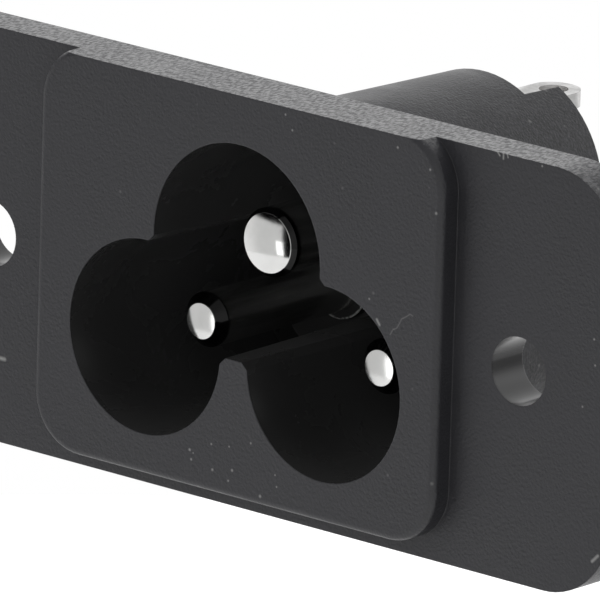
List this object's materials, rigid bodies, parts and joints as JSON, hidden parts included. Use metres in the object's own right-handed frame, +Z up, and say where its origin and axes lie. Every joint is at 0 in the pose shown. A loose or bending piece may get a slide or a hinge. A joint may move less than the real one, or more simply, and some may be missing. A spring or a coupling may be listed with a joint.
{
  "type": "power inlet",
  "caption": "Black moulded panel power inlet: a screw flange with a raised boss around a cloverleaf recess, round plated pins inside, and solder tags behind a lobed shroud.",
  "frame": {"origin": "on the flange's rear face, which seats on the panel, midway between the two screw holes", "axes": "+X along the flange to the right as seen from the front, +Y into the panel, +Z up"},
  "size_m": [0.04, 0.0217, 0.0182],
  "materials": {
    "housing": "black moulded thermoplastic with a fine spark-eroded grain on the outside and smooth walls in the recess and holes",
    "pin": "bright nickel plating on turned brass",
    "tag": "satin tin plating on stamped brass"
  },
  "bodies": {
    "root": {"housing": "housing", "earth_pin": "pin", "line_pin": "pin", "neutral_pin": "pin", "earth_tag": "tag", "line_tag": "tag", "neutral_tag": "tag"}
  },
  "joints": []
}
